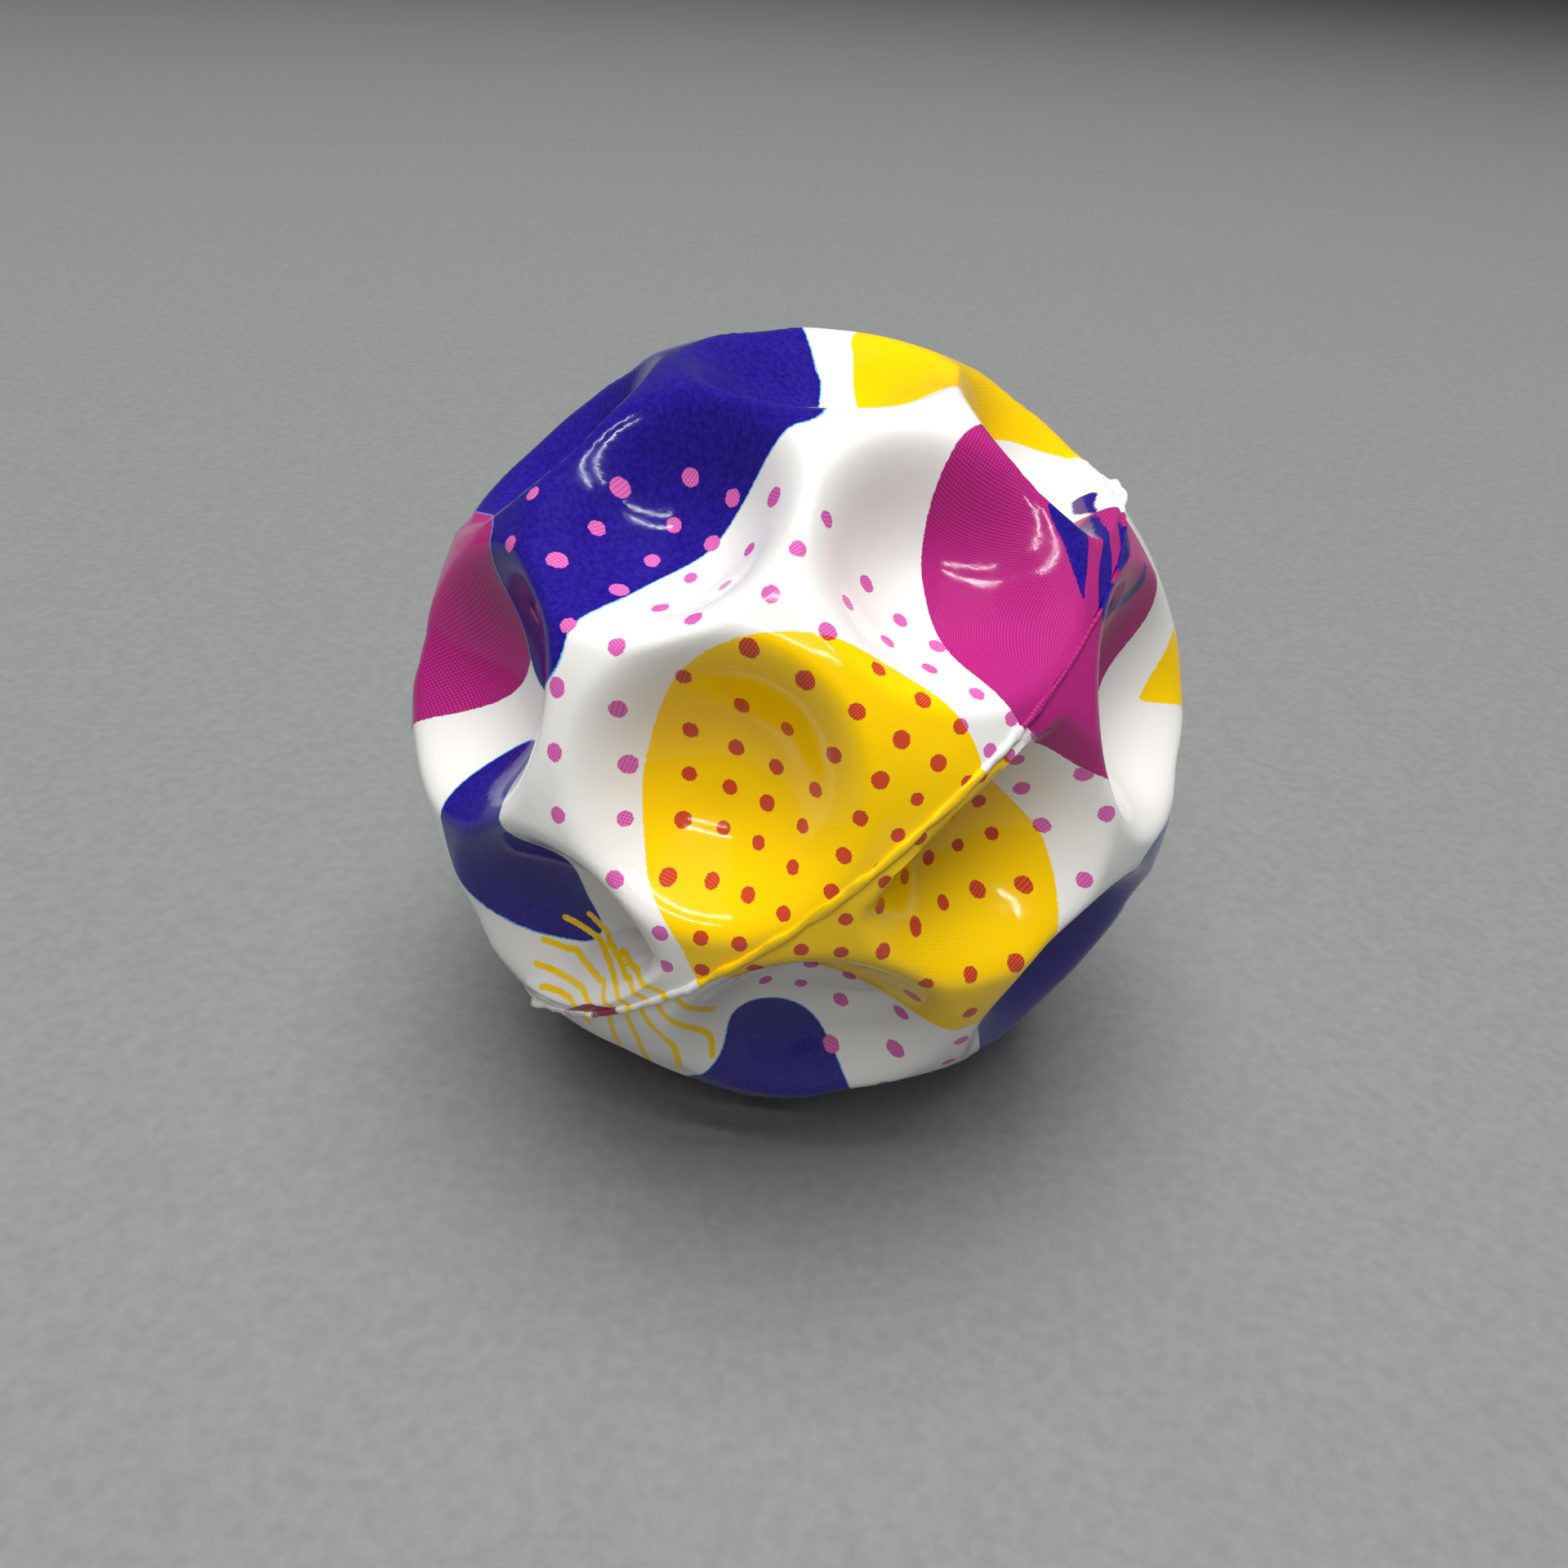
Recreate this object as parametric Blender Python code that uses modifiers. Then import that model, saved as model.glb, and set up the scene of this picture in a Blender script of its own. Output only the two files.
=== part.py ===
"""Crater-faced foam juggling ball.

A moulded foam core sits inside two printed film skins, one from each half of the mould.
The skins meet along the parting line, where a bead of film edge and squeezed-out foam is left
after trimming. Nothing on the ball moves.

Metres, +Z up. The origin is the middle of the ball, and the ball rests on the rim of one crater.
"""
import math

import bmesh
import bpy
from mathutils import Matrix, Vector

# Driving dimensions
BALL_RADIUS = 0.0325                  # to the outermost points, where three crater rims meet
CRATER_DEPTH = 0.0068                 # of a crater's middle below that radius
CRATER_ANGLE = math.radians(17.2)     # from a crater's axis to its rim
BOWL_POWER = 2.7                      # how flat a crater's middle is: 2 is a plain round dish
RIM_ROUNDING = 0.0031                 # radial reach of the blend that rounds the rims
SEAM_LAND = 0.0027                    # from the parting line to where a crater has its full depth
SKIN_THICKNESS = 0.0005               # printed film
FIT_GAP = 0.0003                      # between pieces that touch
BEAD_WIDTH = 0.0007                   # of the bead along the parting line
BEAD_HEIGHT = 0.0004                  # of the bead above the skins

# How the ball lies: it rests on a crater next to one pole of the mould
POLE_LEAN = math.acos(math.sqrt(5) / 3)   # between neighbouring six-sided craters
HEADING = math.radians(-4.93)             # about +Z, from the mould axis leaning towards -X

FINENESS = 5                          # subdivisions of the starting sphere
EDGE_ANGLE = math.radians(50)         # sharper edges than this stay crisp


def clear_scene():
    for leftover in list(bpy.data.objects):
        bpy.data.objects.remove(leftover, do_unlink=True)


def crater_axes():
    """Directions of the 32 craters in the mould's frame, where +Z is the upper half's pole.

    They are laid out like the panels of a football: one at each of the twelve corners of an
    icosahedron and one on each of its twenty faces.
    """
    bm = bmesh.new()
    bmesh.ops.create_icosphere(bm, subdivisions=1, radius=1)
    corners = [v.co.normalized() for v in bm.verts]
    faces = [f.calc_center_median().normalized() for f in bm.faces]
    bm.free()
    axes = corners + faces
    pole = faces[0]
    neighbour = min(faces[1:], key=lambda axis: axis.angle(pole))
    to_pole = pole.rotation_difference(Vector((0, 0, 1))).to_matrix()
    sideways = to_pole @ neighbour
    to_front = Matrix.Rotation(-math.atan2(sideways.y, sideways.x), 3, "Z")
    return [to_front @ to_pole @ axis for axis in axes]


def smaller_blended(first, second, width):
    """The smaller of two radii, with a rounded change from one to the other."""
    blend = max(width - abs(first - second), 0) / width
    return min(first, second) - blend * blend * width / 4


def own_side(direction, axis):
    """1 well inside the crater's own half of the mould, falling smoothly to 0 at the parting line."""
    height = BALL_RADIUS * direction.z * math.copysign(1, axis.z)
    share = min(max(height / SEAM_LAND, 0), 1)
    return share * share * (3 - 2 * share)


def surface_radius(direction, axes):
    """Distance from the ball's middle to its outer surface, in one direction.

    A crater is a dish whose depth falls off with a power of the angle from its axis. It belongs
    to one half of the mould, so a crater whose rim would reach past the parting line is lifted
    clear of the ball there.
    """
    radius = BALL_RADIUS
    for axis in axes:
        part = direction.angle(axis) / CRATER_ANGLE
        dish = BALL_RADIUS - CRATER_DEPTH * (1 - part ** BOWL_POWER)
        if abs(axis.z) < math.sin(CRATER_ANGLE):
            dish += (1 - own_side(direction, axis)) * (CRATER_DEPTH + RIM_ROUNDING)
        radius = smaller_blended(radius, dish, RIM_ROUNDING)
    return radius


def cratered_ball(axes):
    """The whole outer surface as one closed mesh, in the mould's frame."""
    bm = bmesh.new()
    bmesh.ops.create_icosphere(bm, subdivisions=FINENESS, radius=1)
    for vert in bm.verts:
        direction = vert.co.normalized()
        vert.co = direction * surface_radius(direction, axes)
    bm.normal_update()
    return bm


def cut_away(bm, height, keep_above):
    """Cut the surface at a height along the mould axis and drop one side."""
    bmesh.ops.bisect_plane(bm, geom=bm.verts[:] + bm.edges[:] + bm.faces[:], plane_co=(0, 0, height),
                           plane_no=(0, 0, 1), clear_inner=keep_above, clear_outer=not keep_above)


def plain_material(name, colour, roughness):
    material = bpy.data.materials.new(name)
    material.use_nodes = True
    shader = material.node_tree.nodes["Principled BSDF"]
    shader.inputs["Base Color"].default_value = (*colour, 1)
    shader.inputs["Roughness"].default_value = roughness
    shader.inputs["Metallic"].default_value = 0
    return material


def add_piece(name, bm, material, collection):
    """Turn a mesh from the mould's frame to the way the ball lies, as a named object."""
    lying = Matrix.Rotation(HEADING, 4, "Z") @ Matrix.Rotation(-POLE_LEAN, 4, "Y")
    bmesh.ops.transform(bm, matrix=lying, verts=bm.verts)
    mesh = bpy.data.meshes.new(name)
    bm.to_mesh(mesh)
    bm.free()
    mesh.shade_smooth()
    mesh.set_sharp_from_angle(angle=EDGE_ANGLE)
    mesh.materials.append(material)
    piece = bpy.data.objects.new(name, mesh)
    collection.objects.link(piece)
    return piece


def thicken(piece, thickness, proud):
    """Give a surface its thickness, of which the part called proud is outside it."""
    wall = piece.modifiers.new("Wall", "SOLIDIFY")
    wall.thickness = thickness
    wall.offset = 2 * proud / thickness - 1


def build_core(axes, collection):
    bm = cratered_ball(axes)
    inset = SKIN_THICKNESS + FIT_GAP
    normals = [vert.normal.copy() for vert in bm.verts]
    for vert, normal in zip(bm.verts, normals):
        vert.co -= normal * inset
    add_piece("foam_core", bm, plain_material("core_foam", (0.86, 0.84, 0.76), 0.9), collection)


def build_skin(name, axes, upper, colour, collection):
    bm = cratered_ball(axes)
    edge = BEAD_WIDTH / 2 + FIT_GAP
    cut_away(bm, edge if upper else -edge, keep_above=upper)
    skin = add_piece(name, bm, plain_material(name + "_film", colour, 0.2), collection)
    thicken(skin, SKIN_THICKNESS, 0)


def build_bead(axes, collection):
    bm = cratered_ball(axes)
    cut_away(bm, -BEAD_WIDTH / 2, keep_above=True)
    cut_away(bm, BEAD_WIDTH / 2, keep_above=False)
    bead = add_piece("seam_bead", bm, plain_material("seam_edge", (0.9, 0.87, 0.75), 0.4), collection)
    thicken(bead, SKIN_THICKNESS + BEAD_HEIGHT, BEAD_HEIGHT)


def build_ball():
    clear_scene()
    collection = bpy.data.collections.new("crater_juggling_ball")
    bpy.context.scene.collection.children.link(collection)
    axes = crater_axes()
    build_core(axes, collection)
    build_skin("upper_skin", axes, True, (0.93, 0.93, 0.91), collection)
    build_skin("lower_skin", axes, False, (0.9, 0.72, 0.05), collection)
    build_bead(axes, collection)


build_ball()
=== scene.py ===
# %% [markdown]
# # A crater juggling ball with printed film skins
#
# This lesson dresses a moulded foam ball. The real ball is made in a mould of two halves: a printed
# plastic film is laid in each half, foam is poured in, the mould closes, and the foam swells and
# presses both films against the craters. The two films meet along the parting line, and a thin
# bead of film edge and foam is left there after trimming.
#
# The CAD model of the ball comes first. It fixes the size, the place and the names of the pieces.
# Everything made below stays inside its box.

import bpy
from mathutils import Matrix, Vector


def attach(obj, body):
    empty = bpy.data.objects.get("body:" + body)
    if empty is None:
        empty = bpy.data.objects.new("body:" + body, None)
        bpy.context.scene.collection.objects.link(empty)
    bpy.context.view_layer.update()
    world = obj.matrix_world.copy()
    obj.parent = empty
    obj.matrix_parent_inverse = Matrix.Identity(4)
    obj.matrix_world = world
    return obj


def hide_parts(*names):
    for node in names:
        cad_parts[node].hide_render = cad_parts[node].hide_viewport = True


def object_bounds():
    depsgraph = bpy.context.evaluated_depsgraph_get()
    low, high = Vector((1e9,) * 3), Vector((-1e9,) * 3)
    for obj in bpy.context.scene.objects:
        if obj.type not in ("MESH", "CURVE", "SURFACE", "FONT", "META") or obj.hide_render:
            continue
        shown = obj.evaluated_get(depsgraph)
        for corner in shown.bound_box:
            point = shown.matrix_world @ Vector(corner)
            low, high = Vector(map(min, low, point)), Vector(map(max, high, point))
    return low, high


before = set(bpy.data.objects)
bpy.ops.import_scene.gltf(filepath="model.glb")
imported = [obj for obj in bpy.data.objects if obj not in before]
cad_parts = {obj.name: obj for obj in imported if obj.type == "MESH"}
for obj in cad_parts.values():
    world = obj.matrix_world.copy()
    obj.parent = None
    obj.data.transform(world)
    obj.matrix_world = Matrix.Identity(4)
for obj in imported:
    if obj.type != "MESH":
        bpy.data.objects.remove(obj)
cad_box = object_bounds()
print("CAD box in millimetres:", [[round(1000 * value, 1) for value in corner] for corner in cad_box])

# %% [markdown]
# The ball lies on the rim of one crater, with the parting line leaning. Every shape and every
# printed patch belongs to the mould, so it is easiest to work out where things are in the mould's
# own frame, with +Z along the mould's axis, and to turn each finished piece once to the way the
# ball lies. The two angles are the same as in the CAD model.

# %% The mould's frame and the way the ball lies
import math

import bmesh
import bpy
import numpy as np
from mathutils import Matrix, Vector, noise

MM = 0.001
BALL_RADIUS = 32.5 * MM
POLE_LEAN = math.acos(math.sqrt(5) / 3)
HEADING = math.radians(-4.93)
LYING = Matrix.Rotation(HEADING, 4, "Z") @ Matrix.Rotation(-POLE_LEAN, 4, "Y")
floor_height = cad_box[0][2]
print("the floor is at", round(floor_height / MM, 2), "mm")

# %% [markdown]
# ## The camera
#
# The camera comes before the looks, because it decides how much detail each side needs. It looks
# down on the ball from about twelve centimetres away. It is first placed on a sphere round the
# ball, then rolled a little, and at last turned so that the ball sits just right of the middle and
# above it.

# %% Camera
VIEW_AZIMUTH = math.radians(2.34)     # towards the left of straight in front
VIEW_ELEVATION = math.radians(29.5)
VIEW_ROLL = math.radians(3.8)
VIEW_DISTANCE = 3.8 * BALL_RADIUS
LENS = 32.6
SENSOR_WIDTH = 36
BALL_AWAY_FROM_MIDDLE = (0.0089, 0.0468)   # tangents of the angles to the right and up

to_camera = Vector((-math.sin(VIEW_AZIMUTH) * math.cos(VIEW_ELEVATION),
                    -math.cos(VIEW_AZIMUTH) * math.cos(VIEW_ELEVATION), math.sin(VIEW_ELEVATION)))
facing = to_camera.to_track_quat("Z", "Y").to_matrix()
rolled = Matrix.Rotation(VIEW_ROLL, 3, to_camera) @ facing
ball_ray = Vector((*BALL_AWAY_FROM_MIDDLE, -1)).normalized()
turned = rolled @ ball_ray.rotation_difference(Vector((0, 0, -1))).to_matrix()
camera_data = bpy.data.cameras.new("camera")
camera_data.lens = LENS
camera_data.sensor_width = SENSOR_WIDTH
camera_data.clip_start = 1 * MM
camera = bpy.data.objects.new("camera", camera_data)
camera.matrix_world = Matrix.Translation(to_camera * VIEW_DISTANCE) @ turned.to_4x4()
bpy.context.scene.collection.objects.link(camera)
bpy.context.scene.camera = camera
bpy.context.scene.view_settings.view_transform = "Standard"
print("camera distance:", round(VIEW_DISTANCE, 3), "m")

# %% [markdown]
# ## The craters
#
# The 32 craters are laid out like the panels of a football: one at each corner of an icosahedron
# and one on each of its faces. Blender's ico sphere with one subdivision is an icosahedron, so its
# corners and the middles of its faces give the 32 directions without a single number typed in.

# %% Crater directions
def crater_axes():
    bm = bmesh.new()
    bmesh.ops.create_icosphere(bm, subdivisions=1, radius=1)
    corners = [v.co.normalized() for v in bm.verts]
    faces = [f.calc_center_median().normalized() for f in bm.faces]
    bm.free()
    axes = corners + faces
    pole = faces[0]
    neighbour = min(faces[1:], key=lambda axis: axis.angle(pole))
    to_pole = pole.rotation_difference(Vector((0, 0, 1))).to_matrix()
    sideways = to_pole @ neighbour
    to_front = Matrix.Rotation(-math.atan2(sideways.y, sideways.x), 3, "Z")
    return np.array([to_front @ to_pole @ axis for axis in axes])


CRATER_AXES = crater_axes()
print(len(CRATER_AXES), "craters")

# %% [markdown]
# A crater is a dish that digs into the ball. Where two dishes meet, the ridge between them is
# rounded: the smaller of two radii is taken with a soft change from one to the other. Each crater
# belongs to one half of the mould, so a crater that would reach past the parting line fades out
# before it gets there. numpy works out all the points of a mesh together, which takes a second
# instead of minutes.

# %% The ball's surface
CRATER_DEPTH = 6.8 * MM                # of a crater's middle below the outermost points
CRATER_ANGLE = math.radians(17.2)      # from a crater's axis to its rim
BOWL_POWER = 2.7                       # how flat a crater's middle is: 2 is a plain round dish
RIM_ROUNDING = 3.1 * MM                # radial reach of the blend that rounds the rims
SEAM_LAND = 2.7 * MM                   # from the parting line to where a crater has its full depth


def own_side(directions, axis):
    share = np.clip(BALL_RADIUS * directions[:, 2] * np.sign(axis[2]) / SEAM_LAND, 0, 1)
    return share * share * (3 - 2 * share)


def surface_radius(directions):
    radius = np.full(len(directions), BALL_RADIUS)
    for axis in CRATER_AXES:
        part = np.arccos(np.clip(directions @ axis, -1, 1)) / CRATER_ANGLE
        dish = BALL_RADIUS - CRATER_DEPTH * (1 - part ** BOWL_POWER)
        if abs(axis[2]) < math.sin(CRATER_ANGLE):
            dish += (1 - own_side(directions, axis)) * (CRATER_DEPTH + RIM_ROUNDING)
        blend = np.maximum(RIM_ROUNDING - np.abs(radius - dish), 0) / RIM_ROUNDING
        radius = np.minimum(radius, dish) - blend * blend * RIM_ROUNDING / 4
    return radius


crater_floors = surface_radius(CRATER_AXES) / MM
print("crater middles are", crater_floors.min().round(1), "to", crater_floors.max().round(1),
      "mm from the ball's middle")

# %% [markdown]
# A mesh hands over all its points at once as one long list of numbers, and takes them back the
# same way, which is much quicker than asking for them one by one. Most of what follows works on
# directions, which are points drawn in to a distance of 1 from the middle.

# %% Points of a mesh as arrays
def read_points(mesh):
    points = np.empty(3 * len(mesh.vertices))
    mesh.vertices.foreach_get("co", points)
    return points.reshape(-1, 3)


def write_points(mesh, points):
    mesh.vertices.foreach_set("co", points.ravel())
    mesh.update()


def unit(points):
    return points / np.linalg.norm(points, axis=1)[:, None]


print("lengths of the crater axes:", np.linalg.norm(unit(CRATER_AXES), axis=1).round(3).max())

# %% [markdown]
# ## The printed design
#
# Each film is printed flat, as a round sheet, and stretched into its half of the mould. A printed
# patch is therefore drawn here on the flat sheet, in millimetres from its middle, and looked up
# for every point of the ball: the angle from the mould's axis gives the distance from the sheet's
# middle, and the direction round the axis stays the same. The sheet's middle is stretched a little
# more than its edge, which the two stretch numbers describe. The way back, from the sheet to the
# ball, has no formula of its own, so the first formula is turned round by repeated correction.

# %% Between the ball and the flat sheet
STRETCH = (0.151, 0.058)     # how the sheet gives way, by the angle from the axis
CORRECTIONS = 30             # rounds of correction on the way back


def on_sheet(directions):
    from_axis = np.arccos(np.clip(np.abs(directions[:, 2]), 0, 1))
    out = BALL_RADIUS / MM * (from_axis - STRETCH[0] * from_axis ** 3 + STRETCH[1] * from_axis ** 5)
    round_axis = np.arctan2(directions[:, 1], directions[:, 0])
    return np.stack([out * np.cos(round_axis), out * np.sin(round_axis)], axis=1)


def on_ball(places, upper):
    """Points on the ball's surface, in millimetres, for places on a sheet."""
    out = np.linalg.norm(places, axis=1) * MM / BALL_RADIUS
    from_axis = out
    for _ in range(CORRECTIONS):
        from_axis = out + STRETCH[0] * from_axis ** 3 - STRETCH[1] * from_axis ** 5
    round_axis = np.arctan2(places[:, 1], places[:, 0])
    directions = np.stack([np.sin(from_axis) * np.cos(round_axis), np.sin(from_axis) * np.sin(round_axis),
                           np.cos(from_axis) * (1 if upper else -1)], axis=1)
    return directions * (surface_radius(directions) / MM)[:, None]


sheet_edge = np.linalg.norm(on_sheet(np.array([[1.0, 0.0, 0.0]])))
print("the sheet reaches", round(float(sheet_edge), 1), "mm out to the parting line")


# %% [markdown]
# A patch's outline is a smooth closed curve through a few points, and a printed line is a smooth
# open one. Both are Catmull-Rom curves, which pass through each of their points, so a shape is
# drawn by putting down the few points that it goes through.

# %% Smooth curves through a few points
CURVE_STEPS = 8


def on_curve(before, start, end, beyond, t):
    """The curve between start and end, bent by the points on either side; t runs from 0 to 1."""
    return 0.5 * (2 * start + (end - before) * t
                  + (2 * before - 5 * start + 4 * end - beyond) * t ** 2
                  + (3 * start - before - 3 * end + beyond) * t ** 3)


def smooth_outline(corners):
    corners = np.array(corners, float)
    before, after, beyond = np.roll(corners, 1, 0), np.roll(corners, -1, 0), np.roll(corners, -2, 0)
    pieces = [on_curve(before, corners, after, beyond, step / CURVE_STEPS) for step in range(CURVE_STEPS)]
    return np.stack(pieces, axis=1).reshape(-1, 2)


def smooth_line(corners):
    """The same curve, open: it starts at the first corner and ends at the last."""
    ends = [corners[0], *corners, corners[-1]]
    path = [np.array(corners[0], float)]
    for four in zip(ends[:-3], ends[1:-2], ends[2:-1], ends[3:]):
        four = [np.array(corner, float) for corner in four]
        path += [on_curve(*four, step / CURVE_STEPS) for step in range(1, CURVE_STEPS + 1)]
    return np.array(path)


print("a square's outline gets", len(smooth_outline([(0, 0), (4, 0), (4, 4), (0, 4)])), "points")

# %% [markdown]
# What a material needs from an outline is a signed distance: how many millimetres a point lies
# inside it, or outside it as a negative number. It changes smoothly across the edge, so the edge
# stays crisp even where the mesh is coarse. A point is inside when a straight line from it
# crosses the outline an odd number of times.

# %% Signed distances
FAR_AWAY = 1e9


def inside_by(places, corners):
    outline = smooth_outline(corners)
    nearest = np.full(len(places), FAR_AWAY)
    crossings = np.zeros(len(places), int)
    for start, end in zip(outline, np.roll(outline, -1, 0)):
        run = end - start
        along = np.clip((places - start) @ run / (run @ run), 0, 1)
        nearest = np.minimum(nearest, np.linalg.norm(places - start - along[:, None] * run, axis=1))
        straddles = (start[1] > places[:, 1]) != (end[1] > places[:, 1])
        if start[1] != end[1]:
            cut = start[0] + (places[:, 1] - start[1]) * run[0] / run[1]
            crossings += straddles & (places[:, 0] < cut)
    return np.where(crossings % 2, nearest, -nearest)


def inside_any(places, patches):
    return np.max([inside_by(places, patch) for patch in patches], axis=0)


square_middle = inside_by(np.array([[2.0, 2.0]]), [(0, 0), (4, 0), (4, 4), (0, 4)])
print("a four millimetre square's middle is", square_middle.round(2)[0], "mm inside its rounded outline")


# %% [markdown]
# The design itself: large soft blobs in yellow, magenta and indigo on white, a field of dots, a
# fan of thin yellow lines and a few dark leaves. The blobs of the upper and the lower film nearly
# meet at the seam, but not quite, because the two films are never turned exactly alike.

# %% The upper film's patches
UPPER = {
    "yellow": [
        [(-7.5, -52), (-6, -44), (-5, -38), (-1.5, -32.5), (5, -28.7), (11.5, -27.6), (18, -28.5),
         (23, -31.5), (26.5, -35.5), (28.4, -41), (28, -50), (10, -57)],
        [(23.2, 11), (23.7, 8.3), (24.9, 4.7), (26.5, 0), (28, -3.5), (30, -3.5), (33, 0), (35, 4),
         (38, 9), (44, 12.5), (52, 16), (52, 26), (42, 31), (31, 27), (26, 20)],
        [(2, 11), (6, 9.5), (8, 14), (5, 22), (-1, 24), (-4, 19), (-1, 14)],
        [(-38, -4), (-30, -9), (-27, -2), (-30, 8), (-38, 12), (-46, 6), (-45, -2)],
        [(-8, 36), (2, 33), (10, 38), (12, 50), (0, 56), (-12, 52), (-14, 43)],
    ],
    "magenta": [
        [(30.2, -11.5), (29.5, -17), (29.7, -25), (30.6, -32), (33.2, -37), (40, -46), (54, -44),
         (60, -20), (57, -5), (48, -3.3), (41, -3), (34, -6)],
        [(3, -9), (-1.5, -12), (-3.5, -15.8), (-8, -16.2), (-12, -17), (-16, -16), (-20, -13.5),
         (-25, -9), (-28, -2), (-25, 6), (-18, 9), (-11, 7), (-7, 1), (-2, -4)],
        [(14, 27), (22, 30), (26, 38), (24, 48), (12, 50), (10, 40), (9, 32)],
    ],
    "indigo": [
        [(17.5, 14), (19.6, 10.1), (21, 7.8), (21.8, 6), (22.3, -3), (22, -11), (19, -13.2),
         (15.5, -15.2), (11.5, -17.8), (6, -19.6), (2, -22.6), (-2, -25), (-8, -22.5), (-10, -17),
         (-3.5, -12), (-6, -4), (-12, 4), (-14, 12), (-7, 15), (4, 18), (14, 19)],
        [(-12, -23.5), (-17.5, -20.8), (-22.5, -22.6), (-27, -26), (-29.2, -30.5), (-28.8, -35.5),
         (-26.2, -36.8), (-23, -33.5), (-18, -31), (-13, -28)],
        [(-26, 16), (-16, 17), (-8, 24), (-9, 32), (-18, 38), (-30, 34), (-36, 24)],
        [(34, 32), (42, 34), (40, 46), (30, 50), (28, 40)],
    ],
}
print({ink: len(patches) for ink, patches in UPPER.items()}, "patches on the upper film")

# %% [markdown]
# The lower film is its own sheet with its own blobs. The big yellow and magenta ones carry on from
# those of the upper film, a millimetre or so out of line, which is what tells the eye that there
# are two films. The yellow patch with straight sides gives its corners twice, which keeps a smooth
# curve from rounding them.

# %% The lower film's patches
LOWER = {
    "yellow": [
        [(31, -42), (27.5, -34.5), (23.8, -28.8), (20.5, -27.2), (15.5, -26.8), (10.5, -26.4),
         (6.4, -28), (3, -31), (-1, -34), (-4, -38.5), (-5.2, -44), (-5, -50), (2, -57), (25, -53)],
        [(36, -1.5), (36, -1.5), (31.6, -6), (31.6, -6), (27.5, 2), (27.5, 2)],
        [(-36, 8), (-28, 4), (-20, 10), (-20, 20), (-30, 24), (-40, 18)],
        [(20, 26), (30, 24), (36, 34), (30, 46), (18, 42), (14, 34)],
    ],
    "magenta": [
        [(34, -37), (31.2, -31), (28.7, -25.5), (28.3, -19), (30.5, -12.5), (34.8, -8), (38.5, -4.6),
         (43, -3.4), (48, -3.4), (57, -6), (58, -26), (46, -44)],
        [(-30, -18), (-22, -14), (-18, -4), (-24, 2), (-34, 0), (-42, -8), (-40, -16)],
        [(-6, 26), (4, 24), (10, 34), (6, 46), (-6, 48), (-12, 36)],
    ],
    "indigo": [
        [(-15.5, -34), (-13, -36.8), (-10, -34.6), (-7.7, -30.5), (-8, -26), (-11, -20), (-17, -19),
         (-21, -24), (-20, -31)],
        [(23.6, -12), (22.3, -17), (19, -19), (14, -19), (10, -21), (5, -22.5), (1, -20), (-2, -15),
         (-4, -8), (2, 0), (10, 3), (18, 1), (22, -4), (24, -8)],
        [(-46, -30), (-36, -26), (-34, -34), (-40, -42), (-50, -40)],
        [(40, 12), (50, 14), (50, 30), (40, 28), (36, 20)],
    ],
}
print({ink: len(patches) for ink, patches in LOWER.items()}, "patches on the lower film")

# %% [markdown]
# A bunch of narrow indigo leaves lies across the parting line at one end, with one small dark red
# leaf at the other. They are outlines like the blobs, only thinner. The key True stands for the
# upper film and False for the lower one.

# %% Leaves
LEAVES = {
    True: [[(37.8, -13.4), (39.5, -13.2), (42.2, -14.2), (42.3, -18), (42, -20.8), (41.9, -22.7),
            (40.9, -20.1), (39.7, -17.1), (38.6, -15.2)],
           [(47.5, -3.4), (47.3, -6.3), (46.1, -12.3), (46.4, -14.6), (46.5, -17.5), (46.2, -19.3),
            (45.2, -21.8), (44.3, -22.9), (44.1, -18.5), (44.5, -15.8), (45.3, -11.7), (46.6, -6.5)],
           [(48.5, -6.8), (48.2, -9.2), (48.4, -11.5), (47.5, -15.1), (47, -17.6), (48.8, -14), (50.2, -8)],
           [(47.2, 3.7), (47.9, 2.6), (47.8, -0.6), (47.65, -3.7), (47.3, -1), (47.25, 1.5)]],
    False: [[(49.3, -6.8), (48.2, -7.6), (47.2, -10.5), (46.9, -14), (46.9, -17.3), (48.8, -14.5),
             (50.2, -9)],
            [(46.9, -17.5), (44.9, -20), (43.6, -21.5), (44.3, -23.3), (46.5, -21.5), (47.5, -19)],
            [(44.6, -6.1), (42.9, -6.4), (42.2, -7.5), (41.9, -9.3), (41.6, -13), (42.3, -19),
             (43.3, -23), (44.3, -21), (44.3, -16.3), (43.4, -11.5), (43.3, -8.6)]],
}
DARK_LEAF = [(-31.5, -38.8), (-27.5, -40.4), (-24, -42.4), (-21, -45.5), (-24.5, -43.6), (-28, -41.2)]
print(len(LEAVES[True]), "leaves on the upper film,", len(LEAVES[False]), "on the lower one")

# %% [markdown]
# A fan of thin yellow lines runs over the parting line beside the dark leaf. A line is only a few
# points on its middle, and its width is added afterwards.

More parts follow.
